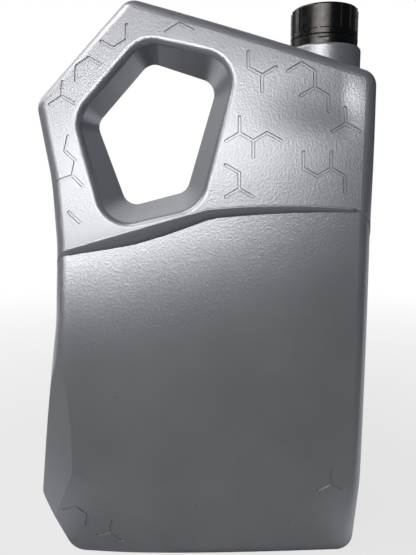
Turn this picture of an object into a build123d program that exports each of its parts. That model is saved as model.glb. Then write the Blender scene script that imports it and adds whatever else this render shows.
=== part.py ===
from build123d import *
import os

# Five-litre antifreeze jug: a blown bottle with a hand window, a ribbed screw cap and its tamper band.
# The frame: X along the jug's width, -Y is its front, Z up, with the origin under the middle of its box.
# All sizes are in millimetres.

# Outline of the bottle on its parting plane, seen from the front, as corner (x, z) and corner radius
body_width = 204.7
right_side = body_width / 2
shoulder_trim = 0.3
right_waist_pinch = 2.5
right_foot_pinch = 1.1
low_left_trim = 0.3
outline = {
    "handle_top": ((-43.7, 345.2), 11.0),
    "shoulder_end": ((right_side + shoulder_trim, 296.9), 11.0),
    "right_waist": ((right_side - right_waist_pinch, 215.0), 200.0),
    "right_foot": ((right_side - right_foot_pinch, 50.0), 150.0),
    "base_right": ((98.2, 0.0), 11.0),
    "base_left": ((-84.1, 0.0), 12.0),
    "low_left": ((-right_side - low_left_trim, 39.8), 10.5),
    "hip": ((-89.2, 151.2), 120.0),
    "waist": ((-88.6, 196.4), 120.0),
    "grip_bend": ((-92.2, 235.0), 150.0),
    "handle_left": ((-102.7, 282.9), 12.0),
}
base_corners = {"base_right": "right_foot", "base_left": "low_left"}
base_run_on = 20.0
wall = 1.2
side_draft = 2.0

# Half depths of the bottle: control nets of two smooth faces, in rows from the bottom up
net_margin = 7.5
net_half_width = right_side + net_margin
grip_net_z = (160.0, 350.0)
grip_net = [
    [46.0, 55.0, 60.0, 56.0],
    [31.0, 46.0, 59.5, 57.0],
    [17.5, 35.5, 53.0, 48.5],
    [4.0, 22.0, 36.0, 29.5],
]
panel_net_z = (-5.0, 230.0)
panel_net = [
    [44.0, 53.5, 48.0, 44.0],
    [50.0, 57.0, 56.5, 50.5],
    [53.0, 58.0, 58.0, 53.0],
    [55.0, 58.0, 58.5, 54.5],
    [21.5, 38.5, 53.0, 54.5],
]
grip_edge_radius = 8.0
panel_edge_radius = 8.0

# Crest between the grip and the label panel: its bend and its ends, and how steeply its lip falls back
crest_left = (-84.5, -42.3, 193.4)
crest_bend = (4.0, -50.3, 218.6)
crest_right = (86.8, -54.7, 218.6)
lip_fall = 2.0
grip_bottom = 170.0
panel_top = 222.5

# Flat facets on the lower left: a point of each, and its lean to the left and downwards, as slopes
hip_facet = ((-81.2, -50.5, 49.0), 0.45, 0.03)
corner_facet = ((-79.8, -50.0, 49.1), 0.12, 0.17)

# Hand window: corners on the parting plane, and the slope at which its walls open out from there
window_corners = [(-32.9, 310.6), (-67.8, 272.2), (-49.0, 219.0), (-9.9, 229.3), (10.3, 297.0)]
window_corner_radius = 9.4
window_flare = 13.0
window_edge_radius = 4.0

# Base: a shallow push-up inside a standing rim
rim_width = 14.0
push_up = 2.5
push_up_draft = 30.0

# Neck and collar, just inside the bottle's right side
neck_radius = 17.0
neck_wall = 2.2
collar_shelf = 6.0
collar_radius = neck_radius + collar_shelf
collar_setback = 1.85
neck_x = right_side - collar_setback - collar_radius
collar_top = 317.6
collar_height = 34.6
collar_foot = collar_top - collar_height
collar_edge_radius = 1.8
neck_height = 20.4
neck_top = collar_top + neck_height
bead_stand = 1.5
bead_radius = neck_radius + bead_stand
bead_lift = 5.0
bead_z = collar_top + bead_lift
bead_height = 1.8

# Cap, tamper band and sealing disc. The band stands on the collar and hooks under the bead.
cap_wall = 1.2
thread_room = 2.0
cap_radius = neck_radius + thread_room + cap_wall
cap_top_thickness = 2.1
cap_edge_radius = 1.2
cap_ribs = 18
rib_width = 1.3
rib_stand = 0.7
ring_height = 2.6
liner_thickness = 1.2
liner_clearance = 0.4
band_overhang = 0.1
band_radius = cap_radius + rib_stand + band_overhang
band_wall = 1.3
band_height = 5.2
band_gap = 0.9
hook_height = 1.4
hook_clearance = 0.5
hook_bite = 0.6
band_slots = 4
slot_width = 6.5
slot_height = 2.2
slot_turn = -12.0

# Larger than the jug in every direction
reach = 700.0


def spread(ends, count):
    """Evenly spaced values from the first end to the last."""
    first, last = ends
    return [first + (last - first) * i / (count - 1) for i in range(count)]


def rounded_face(points, radii, grow=0.0):
    """A polygon's face with rounded corners, grown outwards or, when grow is negative, shrunk."""
    face = make_face(Polyline(*points, close=True))
    for (x, z), radius in zip(points, radii):
        corner = min(face.vertices(), key=lambda v: (v.X - x) ** 2 + (v.Y - z) ** 2)
        face = fillet(corner, radius)
    return offset(face, amount=grow) if grow else face


def run_on_below(start, end):
    """The point where a side that ends at the base would come out if it ran on below it."""
    share = base_run_on / (start[1] - end[1])
    return (end[0] + (end[0] - start[0]) * share, end[1] - base_run_on)


def drafted_outline(inset):
    """The front half of the bottle's outline, leaning in from the parting plane and run on below the base."""
    points = {name: point for name, (point, _) in outline.items()}
    for corner, above in base_corners.items():
        points[corner] = run_on_below(points[above], points[corner])
    radii = [radius for _, radius in outline.values()]
    face = rounded_face(list(points.values()), radii, -inset)
    return extrude(Plane.XZ * face, amount=reach / 8, taper=side_draft)


def behind_face(net, heights, inset):
    """Everything behind a smooth front face given by its control net of half depths."""
    columns = spread((-net_half_width, net_half_width), len(net[0]))
    points = [
        [Vector(x, inset - depth, z) for x, depth in zip(columns, row)]
        for z, row in zip(spread(heights, len(net)), net)
    ]
    return extrude(Face.make_bezier_surface(points), amount=reach / 4, dir=(0, 1, 0))


def behind_plane(origin, normal, inset=0.0):
    """Everything on the inner side of a plane with the given outward normal."""
    outward = Vector(*normal).normalized()
    plane = Plane(origin=Vector(*origin) - outward * inset, z_dir=outward)
    return plane * Box(reach, reach, reach, align=(Align.CENTER, Align.CENTER, Align.MAX))


def level_slab(low, high):
    """Everything between two heights."""
    return Pos(0, 0, low) * Box(reach, reach, high - low, align=(Align.CENTER, Align.CENTER, Align.MIN))


def round_base(half, inset):
    """Round the ends of the flat base, where it meets the sides."""
    for corner in base_corners:
        (x, _), radius = outline[corner]
        rim = [e for e in half.edges() if abs(e.center().Z - inset) < 0.01 and abs(e.tangent_at().Y) > 0.9]
        end = min(rim, key=lambda e: abs(e.center().X - x))
        half = half.fillet(radius - inset, [end])
    return half


def round_front(half, radius, cut_heights):
    """Round the rim of the half's front face, apart from its edges at the heights where it was cut."""
    front = max(half.faces(), key=lambda f: -f.normal_at().Y * f.area)
    rim = [e for e in front.edges() if all(abs(e.center().Z - z) > 0.01 for z in cut_heights)]
    return half.fillet(radius, rim).solids()[0]


def below_crest(inset):
    """Everything under the lip that falls back from the crest."""
    left, bend, right = Vector(*crest_left), Vector(*crest_bend), Vector(*crest_right)
    fall = Vector(0, 1, -lip_fall)
    left_lip = (bend - left).cross(fall)
    right_lip = (right - bend).cross(fall)
    return behind_plane(bend, left_lip, -inset) & behind_plane(bend, right_lip, -inset)


def window(inset):
    """The front half of the hand window, which opens out towards the front."""
    radii = [window_corner_radius] * len(window_corners)
    face = rounded_face(window_corners, radii, inset)
    return extrude(Plane.XZ * face, amount=reach / 8, taper=-window_flare)


def half_skin(inset):
    """The front half of the bottle's body, inset from its outer skin."""
    outline_block = drafted_outline(inset)
    grip = outline_block & behind_face(grip_net, grip_net_z, inset) & level_slab(grip_bottom, reach)
    grip = round_front(grip.solids()[0], grip_edge_radius - inset, [grip_bottom])
    panel = outline_block & behind_face(panel_net, panel_net_z, inset) & level_slab(inset, panel_top)
    panel = round_base(panel.solids()[0], inset)
    panel = round_front(panel.solids()[0], panel_edge_radius - inset, [panel_top])
    for point, lean_left, lean_down in (hip_facet, corner_facet):
        panel = panel & behind_plane(point, (-lean_left, -1, -lean_down), inset)
    opening = window(inset)
    grip = (grip - opening).solids()[0]
    front = max(grip.faces(), key=lambda f: -f.normal_at().Y * f.area)
    window_rim = front.inner_wires()[0].edges()
    grip = grip.fillet(window_edge_radius - inset, window_rim)
    under = below_crest(inset)
    panel = panel & (under + level_slab(0, grip_bottom))
    return ((grip - under) + panel).solids()[0]


def push_up_block(inset):
    """The hollow under the base, inside its standing rim."""
    points = [outline[name][0] for name in ("base_left", "base_right")]
    left, right = points[0][0] + rim_width, points[1][0] - rim_width
    depth = 2 * (min(panel_net[0]) - rim_width)
    floor = Rectangle(right - left + 2 * inset, depth + 2 * inset)
    floor = fillet(floor.vertices(), rim_width + inset)
    return Pos((left + right) / 2, 0, 0) * extrude(floor, amount=push_up + inset, taper=push_up_draft)


def body_skin(inset):
    """The bottle's whole body as a solid, inset from its outer skin: two mirrored halves."""
    half = half_skin(inset)
    return half + mirror(half, about=Plane.XZ) - push_up_block(inset)


def turned(profile):
    """A solid turned about the neck's axis from a profile of (radius, z) points."""
    section = Plane.XZ * make_face(Polyline(*profile, close=True))
    return Pos(neck_x, 0, 0) * revolve(section, axis=Axis.Z)


def neck_outside():
    """The collar, and the neck with the bead that holds the band."""
    collar = turned([
        (0, collar_foot), (collar_radius, collar_foot), (collar_radius, collar_top), (0, collar_top),
    ])
    collar = fillet(collar.edges().filter_by(GeomType.CIRCLE).sort_by(Axis.Z)[-1], collar_edge_radius)
    bead_top = bead_z + bead_height
    neck = turned([
        (0, collar_foot), (neck_radius, collar_foot), (neck_radius, bead_z), (bead_radius, bead_z),
        (bead_radius, bead_top), (neck_radius, bead_top + bead_radius - neck_radius),
        (neck_radius, neck_top), (0, neck_top),
    ])
    return collar + neck


def neck_inside():
    """The hollow of the collar and the bore of the neck."""
    bore = neck_radius - neck_wall
    return turned([
        (0, collar_foot), (collar_radius - wall, collar_foot), (collar_radius - wall, collar_top - wall),
        (bore, collar_top - wall), (bore, neck_top), (0, neck_top),
    ])


def make_bottle():
    """The blown bottle: an even wall all round, and open at its neck."""
    outside = body_skin(0.0) + neck_outside()
    inside = body_skin(wall) + neck_inside()
    return outside - inside


def make_band():
    """The ring under the cap, with a hook inside it and slots in its wall."""
    inner = band_radius - band_wall
    hook_inner = bead_radius - hook_bite
    hook_high = bead_z - hook_clearance
    hook_low = hook_high - hook_height
    low, high = collar_top, collar_top + band_height
    band = turned([
        (inner, low), (band_radius, low), (band_radius, high), (inner, high), (inner, hook_high),
        (hook_inner, hook_high), (hook_inner, hook_high - band_wall / 2), (inner, hook_low),
    ])
    slot = Pos(0, -band_radius, low + band_height / 2) * Box(slot_width, 2 * band_wall, slot_height)
    for i in range(band_slots):
        band -= Pos(neck_x, 0, 0) * Rot(0, 0, slot_turn + 360 * i / band_slots) * slot
    return band


def make_cap():
    """The screw cap: a plain pot with a smooth ring at its foot and thin ribs above it."""
    foot = collar_top + band_height + band_gap
    ceiling = neck_top + liner_thickness
    top = ceiling + cap_top_thickness
    inner = cap_radius - cap_wall
    pot = turned([
        (0, ceiling), (inner, ceiling), (inner, foot), (cap_radius + rib_stand, foot),
        (cap_radius + rib_stand, foot + ring_height), (cap_radius, foot + ring_height + rib_stand),
        (cap_radius, top), (0, top),
    ])
    pot = fillet(pot.edges().filter_by(GeomType.CIRCLE).sort_by(Axis.Z)[-1], cap_edge_radius)
    rib_height = top - cap_edge_radius - foot - ring_height
    rib = Pos(0, -(cap_radius + rib_stand), foot + ring_height) * Box(
        rib_width, 2 * rib_stand, rib_height, align=(Align.CENTER, Align.MIN, Align.MIN)
    )
    for i in range(cap_ribs):
        pot += Pos(neck_x, 0, 0) * Rot(0, 0, 360 * i / cap_ribs) * rib
    return pot


def make_liner():
    """The sealing disc between the neck's rim and the cap."""
    radius = cap_radius - cap_wall - liner_clearance
    top = neck_top + liner_thickness
    return turned([(0, neck_top), (radius, neck_top), (radius, top), (0, top)])


pieces = {
    "bottle": make_bottle,
    "tamper_band": make_band,
    "cap": make_cap,
    "cap_liner": make_liner,
}

os.makedirs("parts", exist_ok=True)
for name, make in pieces.items():
    piece = make()
    export_step(piece, f"parts/{name}.step")
    print(name, round(piece.volume), "mm3")
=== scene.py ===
# %% [markdown]
# # A five-litre antifreeze jug
#
# The jug is one blown shell of silver-grey polyethylene with a ring-shaped grip, closed by a black
# screw cap over a tamper band. The CAD model already has its forms, so this lesson adds what gives
# the jug its look: the grain of the mould, the honeycomb lines in its skin, a dent, the bead along its
# crest, the screw threads that show once the cap is off, and the light of a plain studio.

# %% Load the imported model
import bmesh
import bpy
import math
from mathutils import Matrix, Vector
from mathutils.bvhtree import BVHTree


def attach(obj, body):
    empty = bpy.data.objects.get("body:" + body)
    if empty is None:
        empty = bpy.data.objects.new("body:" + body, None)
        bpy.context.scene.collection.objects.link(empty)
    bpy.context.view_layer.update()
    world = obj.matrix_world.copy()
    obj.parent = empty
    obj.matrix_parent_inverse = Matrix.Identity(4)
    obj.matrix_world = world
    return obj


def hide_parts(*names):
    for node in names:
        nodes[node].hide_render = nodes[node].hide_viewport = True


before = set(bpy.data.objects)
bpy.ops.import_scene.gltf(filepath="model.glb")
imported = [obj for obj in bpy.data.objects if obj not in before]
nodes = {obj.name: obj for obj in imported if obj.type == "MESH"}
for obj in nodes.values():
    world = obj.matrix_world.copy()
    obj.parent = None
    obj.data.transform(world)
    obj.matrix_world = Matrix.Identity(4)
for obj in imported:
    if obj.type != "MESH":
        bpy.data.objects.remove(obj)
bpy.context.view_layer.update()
print("nodes", {name: len(piece.data.polygons) for name, piece in nodes.items()})

# %% [markdown]
# ## Two helpers for finishes
#
# Colours are written as sRGB hex values, as a paint chart gives them, and Blender wants linear light,
# so one function converts them. A second one adds a shader node, sets its properties and fills its
# inputs, either with a plain value or with a link from another node.

# %% Colour and node helpers
MM = 0.001


def linear(hex_colour):
    """An sRGB hex colour as linear red, green, blue and alpha."""
    channels = [int(hex_colour[i:i + 2], 16) / 255 for i in (1, 3, 5)]
    return [c / 12.92 if c <= 0.04045 else ((c + 0.055) / 1.055) ** 2.4 for c in channels] + [1.0]


def add(tree, kind, inputs=None, **settings):
    """Add a node, set its properties, and give its inputs a value or a link."""
    node = tree.nodes.new("ShaderNode" + kind)
    for name, value in settings.items():
        setattr(node, name, value)
    for socket, value in (inputs or {}).items():
        if isinstance(value, bpy.types.NodeSocket):
            tree.links.new(value, node.inputs[socket])
        else:
            node.inputs[socket].default_value = value
    return node


def new_material(name):
    """An empty node material, ready for a surface and its output."""
    material = bpy.data.materials.new(name)
    material.use_nodes = True
    material.node_tree.nodes.clear()
    return material, material.node_tree


# %% [markdown]
# ## Silver polyethylene
#
# The shell is high-density polyethylene with a fine aluminium pigment, blown against a mould that was
# etched with a leather grain. The pigment gives a soft metallic sheen: faces that lean back mirror the
# bright lamps, and upright ones mirror the dim floor. The grain is made of cells a little over a
# millimetre wide with a finer noise in them, used as bump. The strip under the hand window was
# polished in the mould, so a mask made from the place on the jug fades the grain out there.

# %% Mask of the polished strip
CREST_START = (-84.5 * MM, 193.4 * MM)
CREST_RISE = 25.2 / 88.5
CREST_BEND = 4.0
STRIP_TOP = 13 * MM
STRIP_RIGHT = CREST_BEND * MM
STRIP_FADE = 2 * MM
LIP_GRAIN = (-2 * MM, -5 * MM)


def grain_mask(tree, place):
    """One where the mould was grained, and nought on the polished strip above the crest."""
    axes = add(tree, "SeparateXYZ", {"Vector": place}).outputs
    run = add(tree, "Math", {0: axes["X"], 1: CREST_START[0]}, operation="SUBTRACT")
    crest = add(tree, "Math", {0: run.outputs[0], 1: CREST_RISE, 2: CREST_START[1]},
                operation="MULTIPLY_ADD")
    height = add(tree, "Math", {0: axes["Z"], 1: crest.outputs[0]}, operation="SUBTRACT")
    above = add(tree, "MapRange", {"Value": height.outputs[0], "From Min": STRIP_TOP - STRIP_FADE,
                                   "From Max": STRIP_TOP})
    under = add(tree, "MapRange", {"Value": height.outputs[0], "From Min": LIP_GRAIN[0],
                                   "From Max": LIP_GRAIN[1]})
    right = add(tree, "MapRange", {"Value": axes["X"], "From Min": STRIP_RIGHT - STRIP_FADE,
                                   "From Max": STRIP_RIGHT})
    grained = add(tree, "Math", {0: above.outputs[0], 1: under.outputs[0]}, operation="MAXIMUM")
    return add(tree, "Math", {0: grained.outputs[0], 1: right.outputs[0]}, operation="MAXIMUM").outputs[0]


# %% Silver polyethylene
GRAIN_WIDTH = 1.1 * MM
FINE_GRAIN = 0.5 * MM
WAVE_WIDTH = 14 * MM
FLOW_WIDTH = 60 * MM
SPECK_SPACING = 16 * MM
GRAIN_STRENGTH = 0.3

silver, tree = new_material("blown silver polyethylene")
place = add(tree, "TexCoord").outputs["Object"]
cells = add(tree, "TexVoronoi", {"Vector": place, "Scale": 1 / GRAIN_WIDTH, "Smoothness": 0.6},
            feature="SMOOTH_F1")
fine = add(tree, "TexNoise", {"Vector": place, "Scale": 1 / FINE_GRAIN, "Detail": 2.0})
waves = add(tree, "TexNoise", {"Vector": place, "Scale": 1 / WAVE_WIDTH, "Detail": 1.0})
flow = add(tree, "TexNoise", {"Vector": place, "Scale": 1 / FLOW_WIDTH, "Detail": 3.0})
grain = add(tree, "Math", {0: grain_mask(tree, place), 1: GRAIN_STRENGTH}, operation="MULTIPLY")
wavy = add(tree, "Bump", {"Height": waves.outputs["Fac"], "Strength": 0.1, "Distance": 0.35 * MM})
grained = add(tree, "Bump", {"Height": cells.outputs["Distance"], "Strength": grain.outputs[0],
                             "Distance": 0.25 * MM, "Normal": wavy.outputs["Normal"]})
bumpy = add(tree, "Bump", {"Height": fine.outputs["Fac"], "Strength": grain.outputs[0],
                           "Distance": 0.08 * MM, "Normal": grained.outputs["Normal"]})
tone = add(tree, "ValToRGB", {"Fac": flow.outputs["Fac"]})
tone.color_ramp.elements[0].position = 0.35
tone.color_ramp.elements[0].color = linear("#959AA2")
tone.color_ramp.elements[1].position = 0.65
tone.color_ramp.elements[1].color = linear("#9DA2AA")
specks = add(tree, "TexVoronoi", {"Vector": place, "Scale": 1 / SPECK_SPACING})
speck = add(tree, "MapRange", {"Value": specks.outputs["Distance"], "From Min": 0.02, "From Max": 0.035,
                               "To Min": 0.6, "To Max": 0.0})
dusty = add(tree, "MixRGB", {"Fac": speck.outputs["Result"], "Color1": tone.outputs["Color"],
                             "Color2": linear("#4A4A4C")})
sheen = add(tree, "BsdfPrincipled", {"Base Color": dusty.outputs["Color"], "Metallic": 0.65,
                                     "Roughness": 0.38, "Normal": bumpy.outputs["Normal"]})
add(tree, "OutputMaterial", {"Surface": sheen.outputs["BSDF"]})
print("made", silver.name)

# %% [markdown]
# ## Black polypropylene and the sealing foam
#
# Cap and band are injection-moulded black polypropylene, glossier than the shell, with a faint
# spark-eroded texture and light scuffs on top. The disc in the cap is white foamed polyethylene.

# %% Black polypropylene and white foam
SPARK_WIDTH = 0.25 * MM
SCUFF_WIDTH = 4 * MM
FOAM_CELL = 0.3 * MM

black, tree = new_material("moulded black polypropylene")
place = add(tree, "TexCoord").outputs["Object"]
spark = add(tree, "TexNoise", {"Vector": place, "Scale": 1 / SPARK_WIDTH, "Detail": 1.0})
scuff = add(tree, "TexNoise", {"Vector": place, "Scale": 1 / SCUFF_WIDTH, "Detail": 6.0})
bumpy = add(tree, "Bump", {"Height": spark.outputs["Fac"], "Strength": 0.2, "Distance": 0.03 * MM})
gloss = add(tree, "MapRange", {"Value": scuff.outputs["Fac"], "From Min": 0.35, "From Max": 0.7,
                               "To Min": 0.2, "To Max": 0.32})
cap_skin = add(tree, "BsdfPrincipled", {"Base Color": linear("#070707"), "IOR": 1.45,
                                        "Roughness": gloss.outputs["Result"],
                                        "Normal": bumpy.outputs["Normal"]})
add(tree, "OutputMaterial", {"Surface": cap_skin.outputs["BSDF"]})

foam, tree = new_material("foamed white polyethylene")
place = add(tree, "TexCoord").outputs["Object"]
pores = add(tree, "TexVoronoi", {"Vector": place, "Scale": 1 / FOAM_CELL})
bumpy = add(tree, "Bump", {"Height": pores.outputs["Distance"], "Strength": 0.4, "Distance": 0.05 * MM})
foam_skin = add(tree, "BsdfPrincipled", {"Base Color": linear("#EDECE6"), "Roughness": 0.7,
                                         "Normal": bumpy.outputs["Normal"]})
add(tree, "OutputMaterial", {"Surface": foam_skin.outputs["BSDF"]})

for name, finish in {"cap": black, "tamper_band": black, "cap_liner": foam}.items():
    nodes[name].data.materials.clear()
    nodes[name].data.materials.append(finish)
print("made", black.name, "and", foam.name)

# %% [markdown]
# ## Where the moulded lines run
#
# Pieces of a honeycomb are sunk into the grip, the block beside it and the lower corners. Each piece
# is a short walk along honeycomb edges, so it can be written as a start, a heading and a few letters:
# f goes forward by one edge, l and r turn by 60 degrees, and brackets make a branch. A list of such
# walks is easy to read and to change, and every line keeps the honeycomb's angles by itself.

# %% Honeycomb walks
EDGE = 9.0
GRIP_WALKS = [
    ((-92.0, 281.5), 30, "f(lf)rf"),
    ((-75.5, 295.0), 90, "frfrf"),
    ((-60.0, 318.0), -30, "flflf"),
    ((-20.5, 321.5), 30, "frf"),
    ((-80.0, 262.0), -102, "flfrf(rf)lf"),
    ((-79.0, 217.0), -42, "f"),
]
BLOCK_WALKS = [
    ((27.0, 308.0), -90, "flf(lf)rf"),
    ((49.0, 296.5), 30, "frfrf(rf)lfrf"),
    ((22.0, 271.0), -90, "f(rf)lf(rf)lfrf"),
    ((82.0, 276.0), -90, "f(rf)lf"),
    ((58.0, 251.0), -90, "flflf(lf)rfrf"),
    ((14.0, 244.0), -30, "frf(rf)lf"),
]
CORNER_WALKS = [
    ((-87.0, 31.0), 20, "frf(rf)lf"),
    ((-66.0, 13.0), 20, "f(lf)rf"),
    ((80.0, 60.0), -90, "f(rf)lf"),
]


def honeycomb_lines(start, heading, letters):
    """The straight lines of one walk, as pairs of points on the jug's front, in millimetres."""
    place, angle, kept, lines = Vector(start), heading, [], []
    for letter in letters:
        if letter == "f":
            step = Vector((math.cos(math.radians(angle)), math.sin(math.radians(angle)))) * EDGE
            lines.append((place.copy(), place + step))
            place = place + step
        elif letter in "lr":
            angle += 60 if letter == "l" else -60
        elif letter == "(":
            kept.append((place.copy(), angle))
        else:
            place, angle = kept.pop()
    return lines


walks = GRIP_WALKS + BLOCK_WALKS + CORNER_WALKS
lines = [line for walk in walks for line in honeycomb_lines(*walk)]
print("honeycomb lines", len(lines))

# %% [markdown]
# ## Sinking the lines into the shell
#
# A moulded line is a shallow groove with sloping walls. It could be drawn with bump alone, but then
# it would have no edge in raking light, so it is cut as real geometry: a trapezoid bar is laid along
# each line on the shell's surface, with a small cone at each end to round it, and all of them are
# taken away in one boolean. Rays shot at the CAD shell say where the surface is and which way it faces.

# %% Groove sizes and rays to the shell
GROOVE_WIDTH = 2.0
GROOVE_DEPTH = 0.6
GROOVE_FLOOR = 1.2
BAR_ABOVE = 0.8
CONE_SIDES = 10
RAY_START = 0.2

shell = nodes["bottle"]
shell_tree = BVHTree.FromObject(shell, bpy.context.evaluated_depsgraph_get())
slope = (GROOVE_WIDTH - GROOVE_FLOOR) / 2 / GROOVE_DEPTH
top_half = (GROOVE_WIDTH / 2 + slope * BAR_ABOVE) * MM
floor_half = GROOVE_FLOOR / 2 * MM


def on_shell(point, side):
    """The shell's surface and outward normal behind a point of the front, or of the back for side 1."""
    start = Vector((point.x * MM, side * RAY_START, point.y * MM))
    spot, normal, _, _ = shell_tree.ray_cast(start, Vector((0, -side, 0)))
    return spot, normal


print("shell rays ready, groove walls slope by", round(slope, 2))


# %% Bars and cones
def ring_of(mesh, points):
    """One closed row of points, ready to be skinned."""
    return [mesh.verts.new(p) for p in points]


def skin(mesh, rings):
    """Close a row of equal rings into a solid."""
    for a, b in zip(rings, rings[1:]):
        for i in range(len(a)):
            j = (i + 1) % len(a)
            mesh.faces.new((a[i], a[j], b[j], b[i]))
    mesh.faces.new(reversed(rings[0]))
    mesh.faces.new(rings[-1])


def lay_bar(mesh, start, end, side):
    """A trapezoid bar along one line, following the shell."""
    rings = []
    for share in (0.0, 1 / 3, 2 / 3, 1.0):
        spot, normal = on_shell(start.lerp(end, share), side)
        ahead = Vector((end.x - start.x, 0, end.y - start.y)).normalized()
        across = normal.cross(ahead).normalized()
        high, low = normal * BAR_ABOVE * MM, normal * -GROOVE_DEPTH * MM
        rings.append(ring_of(mesh, [
            spot + high - across * top_half, spot + high + across * top_half,
            spot + low + across * floor_half, spot + low - across * floor_half,
        ]))
    skin(mesh, rings)


def set_cone(mesh, point, side):
    """A small cone that rounds the ends and corners of the lines."""
    spot, normal = on_shell(point, side)
    across = normal.orthogonal().normalized()
    along = normal.cross(across)
    rings = []
    for height, radius in ((-GROOVE_DEPTH * MM, floor_half), (BAR_ABOVE * MM, top_half)):
        turns = [2 * math.pi * i / CONE_SIDES for i in range(CONE_SIDES)]
        rings.append(ring_of(mesh, [
            spot + normal * height + (across * math.cos(t) + along * math.sin(t)) * radius for t in turns
        ]))
    skin(mesh, rings)


# %% Lay the bars
bars = bmesh.new()
corners = {(round(p.x, 1), round(p.y, 1)): p for line in lines for p in line}
for side in (-1, 1):
    for start, end in lines:
        lay_bar(bars, start, end, side)
    for point in corners.values():
        set_cone(bars, point, side)
bmesh.ops.recalc_face_normals(bars, faces=bars.faces)
bar_mesh = bpy.data.meshes.new("groove bars")
bars.to_mesh(bar_mesh)
bar_object = bpy.data.objects.new("groove_bars", bar_mesh)
bpy.context.collection.objects.link(bar_object)
print("bars", len(lines) * 2, "cones", len(corners) * 2)

# %% [markdown]
# ## A dent at the shoulder
#
# Thin blown shells get pushed in, and this one has a soft dent at the front of its right shoulder. The
# dent is a smooth hollow with a steep right side. It is pressed in at the end of the work, so that it
# also carries the moulded lines. The flat face has few points there, so its triangles are first split
# until they are small enough.

# %% Finer mesh at the dent
DENT_PLACE = (79.0, 279.0)
DENT_LEFT = 26.0
DENT_RIGHT = 8.0
DENT_HEIGHT = 11.0
DENT_DEPTH = 2.4
DENT_REACH = 36.0
DENT_EDGE = 2.5
SPLIT_ROUNDS = 7
FRONT = -20 * MM


def dent_at(point):
    """How far the dent moves a point back, and its slopes to the right and upwards."""
    right, up = point.x / MM - DENT_PLACE[0], point.z / MM - DENT_PLACE[1]
    spread = DENT_RIGHT if right > 0 else DENT_LEFT
    depth = DENT_DEPTH * math.exp(-(right / spread) ** 2 / 2 - (up / DENT_HEIGHT) ** 2 / 2)
    return depth * MM, -depth * right / spread ** 2, -depth * up / DENT_HEIGHT ** 2


def near_dent(edge):
    """Whether an end or the middle of an edge lies in the dent's reach, on the front."""
    a, b = (v.co for v in edge.verts)
    spots = [p for p in (a, b, (a + b) / 2) if p.y < FRONT]
    return any(math.hypot(p.x / MM - DENT_PLACE[0], p.z / MM - DENT_PLACE[1]) < DENT_REACH for p in spots)


def refine(mesh):
    """Split the long edges in the dent's reach, again and again."""
    for _ in range(SPLIT_ROUNDS):
        long_edges = [e for e in mesh.edges if e.calc_length() > DENT_EDGE * MM and near_dent(e)]
        bmesh.ops.subdivide_edges(mesh, edges=long_edges, cuts=1)
        bmesh.ops.triangulate(mesh, faces=[f for f in mesh.faces if len(f.verts) > 3])


print("dent", DENT_DEPTH, "mm deep")

# %% Cut the grooves
WELD = 1e-6

welded = bmesh.new()
welded.from_mesh(shell.data)
bmesh.ops.remove_doubles(welded, verts=welded.verts, dist=WELD)
refine(welded)
grooved_mesh = bpy.data.meshes.new("grooved bottle")
welded.to_mesh(grooved_mesh)
bottle = bpy.data.objects.new("grooved_bottle", grooved_mesh)
bpy.context.collection.objects.link(bottle)
cut = bottle.modifiers.new("grooves", "BOOLEAN")
cut.operation = "DIFFERENCE"
cut.solver = "EXACT"
cut.use_self = True
cut.object = bar_object
evaluated = bottle.evaluated_get(bpy.context.evaluated_depsgraph_get())
bottle.data = bpy.data.meshes.new_from_object(evaluated)
bottle.modifiers.clear()
bpy.data.objects.remove(bar_object)
print("grooved bottle", len(bottle.data.polygons), "faces")

# %% [markdown]
# ## Keeping the shell's smooth shading
#
# The cut leaves many small flat faces. On the uncut skin they take their normals from the CAD shell,
# whose normals are exact, so the big curves stay smooth. The groove's own walls stay flat-shaded,
# and that gives the lines their crisp light and dark sides.

# %% Normals of the grooved bottle
TOUCHING = 0.004 * MM
INWARDS = 0.02

source = shell.data
source.calc_loop_triangles()
corner_normals = [n.vector.copy() for n in source.corner_normals]
triangles = [(t.vertices[:], t.loops[:]) for t in source.loop_triangles]
triangle_tree = BVHTree.FromPolygons([v.co for v in source.vertices], [t[0] for t in triangles])


def shell_normal(point, facing):
    """The CAD shell's normal nearest to a point, from its triangle's three corners."""
    spot, _, index, _ = triangle_tree.find_nearest(point)
    verts, loops = triangles[index]
    a, b, c = (source.vertices[v].co for v in verts)
    whole = (b - a).cross(c - a).length or 1.0
    pairs = ((b, c), (c, a), (a, b))
    weights = [(p - spot).cross(q - spot).length for p, q in pairs]
    mixed = sum((corner_normals[l] * w / whole for l, w in zip(loops, weights)), Vector())
    return mixed.normalized() if mixed.dot(facing) > 0 else facing


mesh = bottle.data
mesh.shade_smooth()
normals = [None] * len(mesh.loops)
for face in mesh.polygons:
    _, _, _, gap = triangle_tree.find_nearest(face.center)
    on_skin = gap < TOUCHING
    for loop in face.loop_indices:
        point = mesh.vertices[mesh.loops[loop].vertex_index].co
        inside = point.lerp(face.center, INWARDS)
        normals[loop] = shell_normal(inside, face.normal) if on_skin else face.normal.copy()
print("normals found for", len(mesh.loops), "corners")

# %% Press the dent and set the normals
FACING_FRONT = -0.3

for loop, normal in enumerate(normals):
    point = mesh.vertices[mesh.loops[loop].vertex_index].co
    if point.y < 0 and normal.y < FACING_FRONT:
        _, to_right, upwards = dent_at(point)
        normals[loop] = (normal / -normal.y + Vector((to_right, 0, upwards))).normalized()
for vertex in mesh.vertices:
    if vertex.co.y < 0:
        vertex.co.y += dent_at(vertex.co)[0]
mesh.normals_split_custom_set(normals)
mesh.materials.clear()
mesh.materials.append(silver)
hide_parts("bottle")
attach(bottle, "bottle")
print("grooved and dented bottle", len(mesh.polygons), "faces")

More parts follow.
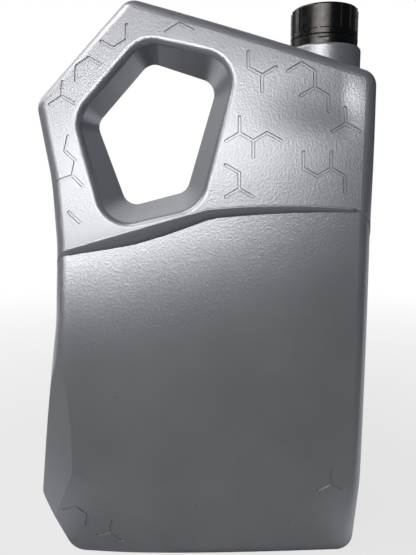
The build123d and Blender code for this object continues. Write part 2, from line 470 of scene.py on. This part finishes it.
# %% [markdown]
# ## A bead along the crest
#
# The mould leaves a thin bead on the crest between the grip and the label panel, and below it the wall
# falls back to the panel in a shallow lip. The crest is found on the shell: rays shot at it from the
# front, one below the other, show where the surface turns under and where the panel begins again. A
# small section of bead and lip is then swept along that path and sunk into the wall.

# %% Section of the crest bead
BEAD_STEP = 3.0
BEAD_ENDS = (-83.0, 90.0)
BEAD_FADE = 12.0
BEAD_STAND = 0.35
BEAD_RISE = 1.1
BEAD_ROUND = 0.45
BEAD_FOOT = 0.12
BEAD_SWELL = 0.05
BEAD_SINK = 0.8
EDGE_SINK = 0.1
LIP_LEAN = -0.3
LIP_STRETCH = 2.3
LIP_FADE = (-40.0, 10.0)
LIP_OVERLAP = 0.3
SEARCH_ABOVE = 8
SEARCH_STEP = 0.1
SEARCH_COUNT = 240


def lip_at(x, side):
    """The heights between which the surface leans under at a place along the jug's width."""
    start = ((min(x, CREST_BEND) * MM - CREST_START[0]) * CREST_RISE + CREST_START[1]) / MM + SEARCH_ABOVE
    heights = [start - i * SEARCH_STEP for i in range(SEARCH_COUNT)]
    found = [(z, *on_shell(Vector((x, z)), side)) for z in heights]
    under = [z for z, spot, normal in found if spot and normal.z < LIP_LEAN]
    return (under[0], under[-1]) if under else None


def crest_section(x, side):
    """The bead's section there, from its top edge round to its back, or none off the jug."""
    lip = lip_at(x, side)
    if not lip:
        return None
    top, foot = lip
    stretch = 1 + (LIP_STRETCH - 1) * min(1.0, max(0.0, (LIP_FADE[1] - x) / (LIP_FADE[1] - LIP_FADE[0])))
    heights = (top + BEAD_RISE, top, top - (top - foot) * stretch - LIP_OVERLAP)
    above, crest, below = (on_shell(Vector((x, z)), side)[0] for z in heights)
    if not above or not below:
        return None
    out = Vector((0, side, 0)) * MM
    fade = min(1.0, (x - BEAD_ENDS[0]) / BEAD_FADE, (BEAD_ENDS[1] - x) / BEAD_FADE)
    crest = crest + out * BEAD_STAND * fade
    high = crest + Vector((0, 0, BEAD_ROUND)) * MM
    low = crest.lerp(below, BEAD_FOOT) + out * BEAD_SWELL
    return [above - out * EDGE_SINK, high, crest, low, below - out * EDGE_SINK, below - out * BEAD_SINK,
            above - out * BEAD_SINK]


print("crest lip in the middle, in mm", lip_at(0.0, -1))


# %% Sweep the crest bead
def finish_piece(name, mesh, finish, body):
    """Turn a mesh into a smooth object with its finish, riding on a body."""
    data = bpy.data.meshes.new(name)
    mesh.to_mesh(data)
    data.shade_smooth()
    data.materials.append(finish)
    piece = bpy.data.objects.new(name, data)
    bpy.context.collection.objects.link(piece)
    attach(piece, body)
    print(name, len(data.polygons), "faces")


def lay_bead(name, side):
    """The bead and lip along the crest of the front, or of the back for side 1."""
    count = int((BEAD_ENDS[1] - BEAD_ENDS[0]) / BEAD_STEP)
    sections = [crest_section(BEAD_ENDS[0] + i * BEAD_STEP, side) for i in range(count + 1)]
    mesh = bmesh.new()
    skin(mesh, [ring_of(mesh, points) for points in sections if points])
    bmesh.ops.recalc_face_normals(mesh, faces=mesh.faces)
    finish_piece(name, mesh, silver, "bottle")


lay_bead("crest_bead_front", -1)
lay_bead("crest_bead_back", 1)

# %% [markdown]
# ## Screw threads
#
# A coarse right-hand thread holds the cap: one ridge on the neck and one inside the cap, half a pitch
# apart, so that they mesh. They could be screw modifiers, but a ridge that fades out at both ends is
# easier as a swept section: each step turns it, lifts it and, near an end, shrinks it.

# %% Threads on the neck and in the cap
PITCH = 4.2
NECK_X = 77.5
STEPS_PER_TURN = 48
FADE_STEPS = STEPS_PER_TURN / 6
ROOT_HALF = 1.1
TIP_HALF = 0.5


def thread(name, root, crest, low, turns, finish, body):
    """A helical ridge from its root radius to its crest radius, starting at a height."""
    mesh = bmesh.new()
    rings = []
    count = int(turns * STEPS_PER_TURN)
    for step in range(count + 1):
        angle = 2 * math.pi * step / STEPS_PER_TURN
        middle = low + PITCH * step / STEPS_PER_TURN
        fade = min(1.0, (min(step, count - step) + 0.5) / FADE_STEPS)
        tip = root + (crest - root) * fade
        section = [(root, -ROOT_HALF), (tip, -TIP_HALF * fade), (tip, TIP_HALF * fade), (root, ROOT_HALF)]
        rings.append(ring_of(mesh, [
            Vector((NECK_X + r * math.cos(angle), r * math.sin(angle), middle + z)) * MM for r, z in section
        ]))
    skin(mesh, rings)
    bmesh.ops.recalc_face_normals(mesh, faces=mesh.faces)
    finish_piece(name, mesh, finish, body)


thread("neck_thread", 16.9, 18.3, 328.2, 1.75, silver, "bottle")
thread("cap_thread", 19.1, 17.6, 326.1, 1.75, black, "cap")

# %% [markdown]
# ## Studio
#
# The jug stands on a pale floor in front of a white wall. Both look white to the camera and show in the
# jug's reflections, but they throw no light on it. Close to the jug the floor glows a little less, which
# leaves room for its shadow. In reflections, the floor in front of the jug and close behind it stays
# plain paper, so that the upright panel and the window's upper wall mirror something darker. A wide, low
# lamp at the front left gives the grip its sheen, a small one high on the left grazes the moulded
# lines, and one at the back left lights the far side.

# %% Paper for the floor and the wall
def ray_shares(tree):
    """One and nought for the camera's own rays, and for rays in reflections and through glass."""
    rays = add(tree, "LightPath").outputs
    bent = add(tree, "Math", {0: rays["Is Glossy Ray"], 1: rays["Is Transmission Ray"]},
               operation="MAXIMUM")
    return rays["Is Camera Ray"], bent.outputs[0]


def set_paper(tree, share):
    """Plain paper that glows white for a share of the rays."""
    paper = add(tree, "BsdfDiffuse", {"Color": linear("#A8A8A8")})
    glow = add(tree, "Emission", {"Color": linear("#FFFFFF"), "Strength": 1.0})
    mixed = add(tree, "MixShader", {0: share, 1: paper.outputs[0], 2: glow.outputs[0]})
    add(tree, "OutputMaterial", {"Surface": mixed.outputs[0]})


def stage_sheet(name, corners, finish):
    """One flat sheet of the studio, in metres."""
    data = bpy.data.meshes.new(name)
    data.from_pydata(corners, [], [(0, 1, 2, 3)])
    data.materials.append(finish)
    sheet = bpy.data.objects.new(name, data)
    bpy.context.collection.objects.link(sheet)


print("paper ready")

# %% Floor
FLOOR_HALF = 6
FLOOR_GLOW = 0.75
GLOW_RISE = (0.2, 1.0)
SHADE_WIDTH = 0.1
SHADE_EDGE = 0.025
SHADE_SPREAD = 0.28
SHADE_END = (1.0, 1.8)
FRONT_SHADE = (-0.10, -0.05)

floor_finish, tree = new_material("pale paper floor")
place = add(tree, "TexCoord").outputs["Object"]
away = add(tree, "VectorMath", {0: place}, operation="LENGTH").outputs["Value"]
rise = add(tree, "MapRange", {"Value": away, "From Min": GLOW_RISE[0], "From Max": GLOW_RISE[1],
                              "To Min": FLOOR_GLOW})
far = add(tree, "MapRange", {"Value": away, "From Min": SHADE_END[0], "From Max": SHADE_END[1]})
axes = add(tree, "SeparateXYZ", {"Vector": place}).outputs
wide = add(tree, "Math", {0: axes["X"]}, operation="ABSOLUTE")
aside = add(tree, "Math", {0: axes["Y"], 1: -SHADE_SPREAD, 2: wide.outputs[0]}, operation="MULTIPLY_ADD")
beside = add(tree, "MapRange", {"Value": aside.outputs[0], "From Min": SHADE_WIDTH,
                                "From Max": SHADE_WIDTH + SHADE_EDGE})
clear = add(tree, "Math", {0: beside.outputs[0], 1: far.outputs[0]}, operation="MAXIMUM")
behind = add(tree, "MapRange", {"Value": axes["Y"], "From Min": FRONT_SHADE[0],
                                "From Max": FRONT_SHADE[1]})
seen, share = ray_shares(tree)
for part in (clear, behind):
    share = add(tree, "Math", {0: share, 1: part.outputs[0]}, operation="MULTIPLY").outputs[0]
share = add(tree, "Math", {0: seen, 1: share}, operation="MAXIMUM").outputs[0]
set_paper(tree, add(tree, "Math", {0: share, 1: rise.outputs[0]}, operation="MULTIPLY").outputs[0])
turns = ((-1, -1), (1, -1), (1, 1), (-1, 1))
stage_sheet("floor", [(x * FLOOR_HALF, y * FLOOR_HALF, 0) for x, y in turns], floor_finish)
print("floor ready")

# %% Wall
WALL_AWAY = 2.2
WALL_HALF = 1.02
WALL_HEIGHT = 2.6

wall_finish, tree = new_material("white paper wall")
seen, share = ray_shares(tree)
set_paper(tree, add(tree, "Math", {0: seen, 1: share}, operation="MAXIMUM").outputs[0])
turns = ((-1, 0), (1, 0), (1, 1), (-1, 1))
stage_sheet("wall", [(x * WALL_HALF, WALL_AWAY, z * WALL_HEIGHT) for x, z in turns], wall_finish)
print("wall ready")

# %% World
world = bpy.data.worlds.new("dim studio")
world.use_nodes = True
tree = world.node_tree
tree.nodes.clear()
dim = add(tree, "Background", {"Color": linear("#C4D6EA"), "Strength": 0.1})
white = add(tree, "Background", {"Color": linear("#FFFFFF"), "Strength": 1.0})
mixed = add(tree, "MixShader", {0: ray_shares(tree)[0], 1: dim.outputs[0], 2: white.outputs[0]})
add(tree, "OutputWorld", {"Surface": mixed.outputs[0]})
bpy.context.scene.world = world
print("world", world.name)


# %% Lamps
def softbox(name, place, aim, size, watts, colour, spread=180):
    """An area lamp of a width and a height that faces a point, in metres."""
    data = bpy.data.lights.new(name, "AREA")
    data.shape = "RECTANGLE"
    data.size, data.size_y = size
    data.energy = watts
    data.color = linear(colour)[:3]
    data.spread = math.radians(spread)
    lamp = bpy.data.objects.new(name, data)
    lamp.location = place
    lamp.rotation_euler = (Vector(aim) - Vector(place)).to_track_quat("-Z", "Y").to_euler()
    bpy.context.collection.objects.link(lamp)


softbox("front_left", (-0.28, -0.73, 0.56), (0, -0.05, 0.26), (0.9, 0.3), 1.2, "#FFF8F2", 70)
softbox("high_left", (-0.42, -0.12, 0.75), (-0.03, 0, 0.2), (0.3, 0.3), 2.0, "#FFF6EE")
softbox("behind", (-0.9, 0.5, 0.9), (0, 0, 0.2), (0.6, 0.6), 2.5, "#FFFFFF")
bpy.context.scene.view_settings.view_transform = "Standard"
print("lamps", len(bpy.data.lights))

# %% [markdown]
# ## Camera
#
# The camera stands a little over a third of a metre from the jug's middle, above half its height, and
# looks down on it slightly. So close, the near edges spread and the back of the jug falls behind its front.

# %% Camera
lens = bpy.data.cameras.new("camera")
lens.lens = 36.32
lens.sensor_width = 36.0
camera = bpy.data.objects.new("camera", lens)
camera.location = (0.0040, -0.374, 0.2277)
camera.rotation_euler = (math.radians(81.5), 0, 0)
bpy.context.collection.objects.link(camera)
bpy.context.scene.camera = camera
print("camera lens", round(lens.lens, 2), "mm")
